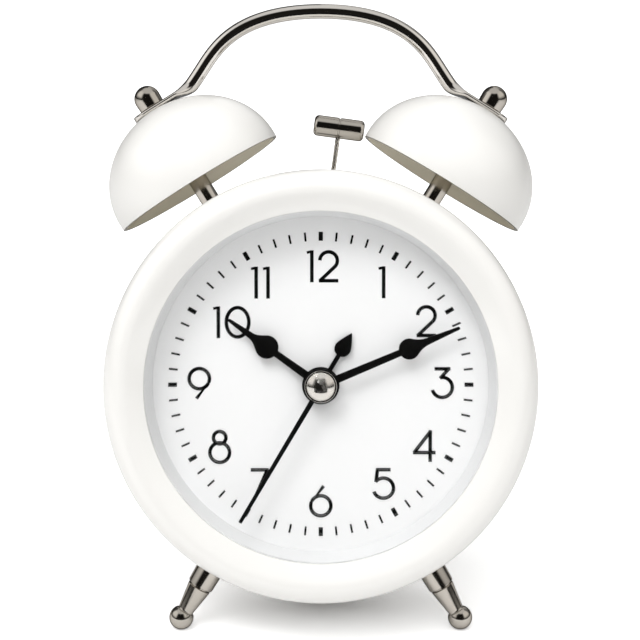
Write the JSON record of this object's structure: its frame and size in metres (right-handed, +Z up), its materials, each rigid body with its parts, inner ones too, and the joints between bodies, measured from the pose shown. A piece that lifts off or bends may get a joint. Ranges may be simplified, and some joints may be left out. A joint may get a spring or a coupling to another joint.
{
  "type": "twin bell alarm clock",
  "caption": "Round drum alarm clock that leans back on ball feet, with bells on posts, a carrying handle, a hammer between the bells, spade hands and a quartz movement.",
  "frame": {"origin": "middle of the clock's box on the floor", "axes": "+X to the right of someone who reads the dial, -Y towards them, +Z up"},
  "size_m": [0.114, 0.0868, 0.1579],
  "materials": {
    "white_paint": "satin gloss",
    "lens": "clear",
    "dial_grey": "matte",
    "dial_white": "matte",
    "cover_plastic": "fine grain",
    "knob_plastic": "matte",
    "chrome": "polished nickel",
    "steel": "plain",
    "black_paint": "satin",
    "nylon": "moulded",
    "brass": "plain",
    "magnet": "sintered",
    "copper": "enamelled wire",
    "board": "solder mask",
    "cell_jacket": "plain jacket"
  },
  "bodies": {
    "case": {"case_drum": "white_paint", "front_bezel": "white_paint", "left_bell": "white_paint", "right_bell": "white_paint", "lens": "lens", "dial_ring": "dial_grey", "dial": "dial_white", "back_cover": "cover_plastic", "left_bell_post": "chrome", "right_bell_post": "chrome", "left_dome_nut": "chrome", "right_dome_nut": "chrome", "carry_handle": "chrome", "left_foot_collar": "chrome", "right_foot_collar": "chrome", "left_foot": "chrome", "right_foot": "chrome", "case_pillars": "steel", "cover_screws": "steel", "post_nuts": "steel", "foot_nuts": "steel", "movement_screws": "steel", "pivot_pin": "steel", "striker_bracket": "steel", "striker_core": "steel", "positive_contact": "steel", "negative_spring": "steel", "quartz_crystal": "steel", "stepper_stator": "steel", "movement_plate": "nylon", "movement_housing": "nylon", "stepper_coil": "copper", "striker_coil": "copper", "circuit_board": "board", "battery_cell": "cell_jacket"},
    "seconds": {"second_hand": "black_paint", "centre_cap": "chrome", "seconds_wheel": "nylon"},
    "third": {"third_wheel": "nylon"},
    "centre": {"centre_wheel": "brass"},
    "fifth": {"fifth_wheel": "nylon"},
    "rotor": {"stepper_rotor": "magnet"},
    "minutes": {"minute_hand": "black_paint", "cannon_pinion": "brass"},
    "time_setting": {"motion_wheel": "nylon", "time_set_arbor": "steel", "time_knob": "knob_plastic"},
    "hours": {"hour_hand": "black_paint", "hour_wheel": "nylon"},
    "alarm_setting": {"alarm_knob": "knob_plastic", "alarm_set_arbor": "steel"},
    "alarm_pointer": {"alarm_hand": "black_paint", "alarm_wheel": "nylon"},
    "hammer": {"hammer_head": "chrome", "hammer_rod": "chrome", "hammer_lever": "steel", "armature": "steel"},
    "switch": {"alarm_switch": "cover_plastic"},
    "door": {"battery_door": "cover_plastic"}
  },
  "joints": [
    {"name": "second_hand_spin", "type": "hinge", "parent": "case", "child": "seconds", "pos_m": [0, -0.01846, 0.0649], "axis": [0, 0.9717, -0.2363], "continuous": true},
    {"name": "third_wheel_spin", "type": "hinge", "parent": "case", "child": "third", "pos_m": [0, -0.02068, 0.05576], "axis": [0, 0.9717, -0.2363], "continuous": true},
    {"name": "centre_wheel_spin", "type": "hinge", "parent": "case", "child": "centre", "pos_m": [0, -0.01846, 0.0649], "axis": [0, 0.9717, -0.2363], "continuous": true},
    {"name": "fifth_wheel_spin", "type": "hinge", "parent": "case", "child": "fifth", "pos_m": [0, -0.01624, 0.07403], "axis": [0, 0.9717, -0.2363], "continuous": true},
    {"name": "rotor_spin", "type": "hinge", "parent": "case", "child": "rotor", "pos_m": [0.00688, -0.0151, 0.07871], "axis": [0, 0.9717, -0.2363], "continuous": true},
    {"name": "minute_hand_spin", "type": "hinge", "parent": "case", "child": "minutes", "pos_m": [0, -0.01846, 0.0649], "axis": [0, 0.9717, -0.2363], "continuous": true},
    {"name": "time_knob_spin", "type": "hinge", "parent": "case", "child": "time_setting", "pos_m": [-0.01, -0.01846, 0.0649], "axis": [0, 0.9717, -0.2363], "continuous": true},
    {"name": "hour_hand_spin", "type": "hinge", "parent": "case", "child": "hours", "pos_m": [0, -0.01846, 0.0649], "axis": [0, 0.9717, -0.2363], "continuous": true},
    {"name": "alarm_knob_spin", "type": "hinge", "parent": "case", "child": "alarm_setting", "pos_m": [0.012, -0.01846, 0.0649], "axis": [0, 0.9717, -0.2363], "continuous": true},
    {"name": "alarm_hand_spin", "type": "hinge", "parent": "case", "child": "alarm_pointer", "pos_m": [0, -0.01846, 0.0649], "axis": [0, 0.9717, -0.2363], "continuous": true},
    {"name": "hammer_swing", "type": "hinge", "parent": "case", "child": "hammer", "pos_m": [0, 0.0102, 0.08963], "axis": [0, 0.9717, -0.2363], "range_deg": [-15.8, 0.4]},
    {"name": "alarm_switch_slide", "type": "slide", "parent": "case", "child": "switch", "axis": [0, 0.2363, 0.9717], "range_m": [0, 0.004]},
    {"name": "battery_door_hinge", "type": "hinge", "parent": "case", "child": "door", "pos_m": [0, 0.01811, 0.01532], "axis": [-1, 0, 0], "range_deg": [0, 100]}
  ],
  "couplings": [
    {"joint": "third_wheel_spin", "follows": "second_hand_spin", "ratio": -0.13333},
    {"joint": "centre_wheel_spin", "follows": "second_hand_spin", "ratio": 0.016667},
    {"joint": "fifth_wheel_spin", "follows": "second_hand_spin", "ratio": -5},
    {"joint": "rotor_spin", "follows": "second_hand_spin", "ratio": 30},
    {"joint": "time_knob_spin", "follows": "minute_hand_spin", "ratio": -0.33333},
    {"joint": "hour_hand_spin", "follows": "minute_hand_spin", "ratio": 0.083333},
    {"joint": "alarm_hand_spin", "follows": "alarm_knob_spin", "ratio": -0.5}
  ]
}
